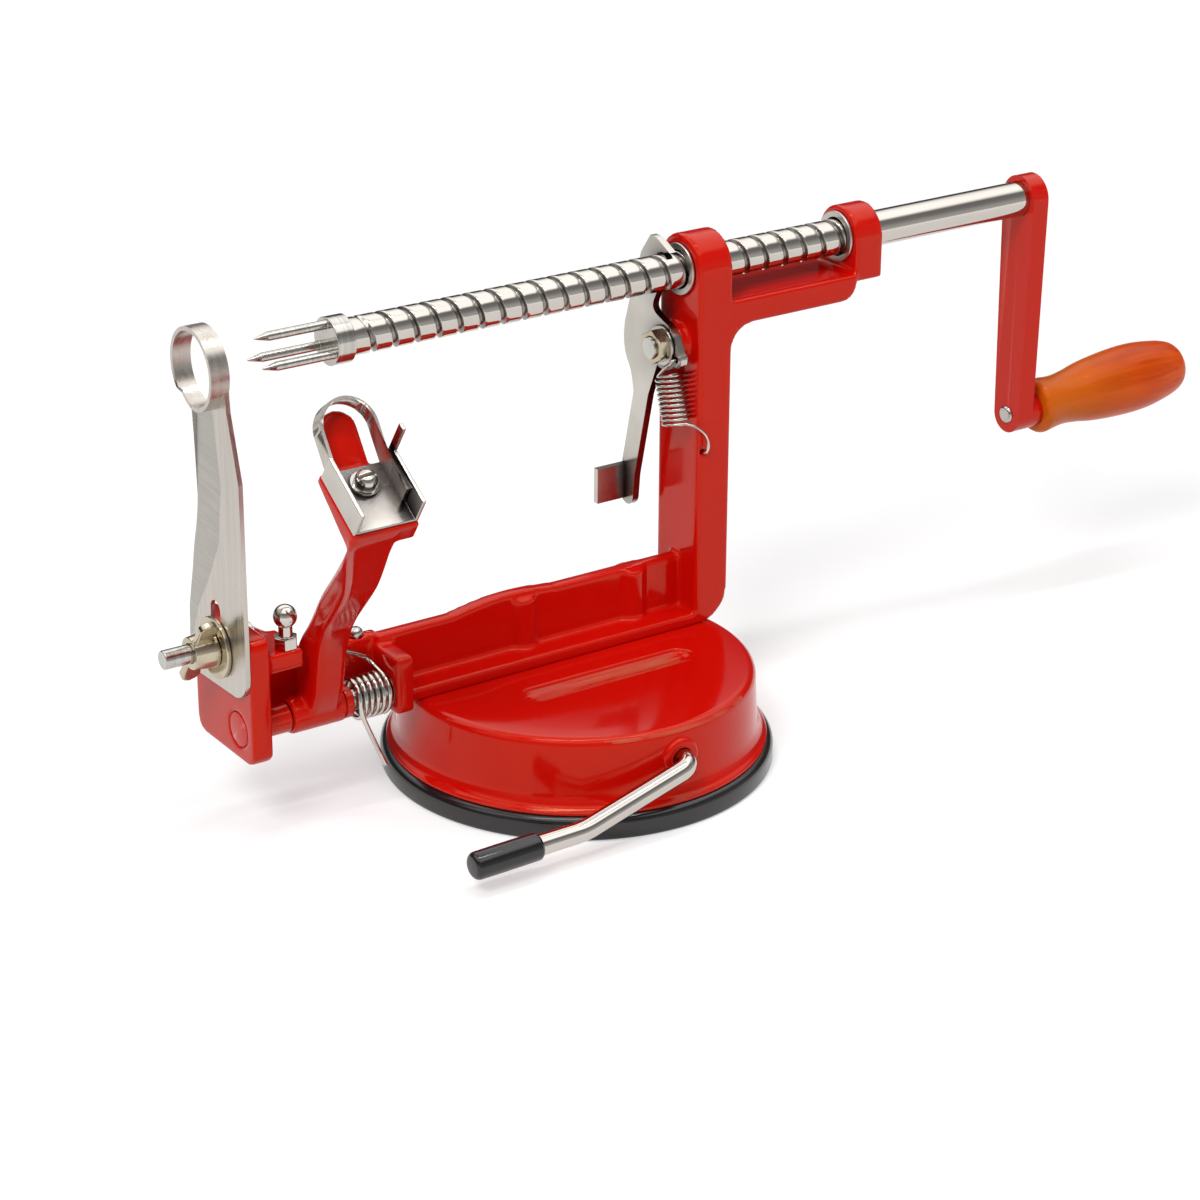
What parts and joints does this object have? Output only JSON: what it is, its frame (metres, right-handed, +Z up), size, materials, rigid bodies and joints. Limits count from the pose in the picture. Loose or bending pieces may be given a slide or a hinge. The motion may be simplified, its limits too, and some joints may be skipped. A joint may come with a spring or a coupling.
{
  "type": "hand cranked apple peeler",
  "caption": "Hand cranked apple peeler on a suction base: a feed screw turns a fork past a sprung peeling arm and a slicing blade with a coring ring.",
  "frame": {"origin": "middle of the suction pad's underside, on the table", "axes": "+X along the feed screw from the fork to the crank, +Y away from the user, +Z up"},
  "size_m": [0.3358, 0.1093, 0.1356],
  "materials": {
    "red_paint": "glossy red enamel over a die casting",
    "black_rubber": "smooth black rubber",
    "chrome": "bright chrome plating",
    "steel": "satin stainless steel",
    "zinc_plate": "bright zinc plating with a faint yellow cast",
    "lacquered_wood": "turned hardwood with orange brown lacquer"
  },
  "bodies": {
    "frame": {"frame": "red_paint", "base_housing": "red_paint", "suction_pad": "black_rubber", "frame_screws": "steel", "front_bush": "steel", "release_bolt": "steel", "release_washer": "steel", "release_nut": "zinc_plate", "release_spring": "chrome", "blade_bolt": "steel", "blade_washer": "zinc_plate", "arm_pin": "steel", "pin_sleeve": "red_paint", "pin_collar": "red_paint", "arm_spring": "chrome", "latch_post": "chrome", "stop_screw": "steel"},
    "drive_bush": {"rear_bush": "steel"},
    "spindle": {"shaft": "chrome", "fork": "steel", "crank_arm": "red_paint", "handle_pin": "steel"},
    "grip": {"handle_grip": "lacquered_wood"},
    "release_lever": {"release_lever": "chrome"},
    "peel_arm": {"peel_arm": "red_paint", "peeling_blade": "steel", "blade_clamp": "chrome", "clamp_screw": "chrome"},
    "slicer": {"slicing_blade": "steel"},
    "wing_nut": {"wing_nut": "zinc_plate"},
    "suction_lever": {"suction_lever": "chrome", "lever_cap": "black_rubber"},
    "suction_stud": {"suction_stud": "steel"}
  },
  "joints": [
    {"name": "crank_turn", "type": "hinge", "parent": "frame", "child": "drive_bush", "pos_m": [0.0968, 0.012, 0.125], "axis": [1, 0, 0], "range_deg": [-2520, 5040]},
    {"name": "shaft_feed", "type": "slide", "parent": "drive_bush", "child": "spindle", "axis": [1, 0, 0], "range_m": [-0.0445, 0.089]},
    {"name": "handle_spin", "type": "hinge", "parent": "spindle", "child": "grip", "pos_m": [0.19, 0.012, 0.06208], "axis": [0.999, 0, 0.0436], "continuous": true},
    {"name": "release_tilt", "type": "hinge", "parent": "frame", "child": "release_lever", "pos_m": [0.036, 0.012, 0.1048], "axis": [1, 0, 0], "range_deg": [-14, 0], "stiffness_Nm_per_rad": 0.3, "springref_deg": 14.32, "deforming": ["release_spring"]},
    {"name": "arm_swing", "type": "hinge", "parent": "frame", "child": "peel_arm", "pos_m": [-0.078, 0.005, 0.0305], "axis": [1, 0, 0], "range_deg": [-14, 28], "stiffness_Nm_per_rad": 0.5, "springref_deg": -2.86, "deforming": ["arm_spring"]},
    {"name": "blade_swing", "type": "hinge", "parent": "frame", "child": "slicer", "pos_m": [-0.0992, 0.012, 0.051], "axis": [1, 0, 0], "range_deg": [-100, 0]},
    {"name": "wing_nut_turn", "type": "hinge", "parent": "frame", "child": "wing_nut", "pos_m": [-0.104, 0.012, 0.051], "axis": [1, 0, 0], "continuous": true},
    {"name": "suction_turn", "type": "hinge", "parent": "frame", "child": "suction_lever", "pos_m": [0, -0.025, 0.018], "axis": [0, 1, 0], "range_deg": [0, 180]},
    {"name": "suction_lift", "type": "slide", "parent": "frame", "child": "suction_stud", "axis": [0, 0, 1], "range_m": [-0.002, 0]}
  ],
  "couplings": [
    {"joint": "shaft_feed", "follows": "crank_turn", "m_per_rad": 0.0010106},
    {"joint": "suction_lift", "follows": "suction_turn", "m_per_rad": -0.000636}
  ]
}
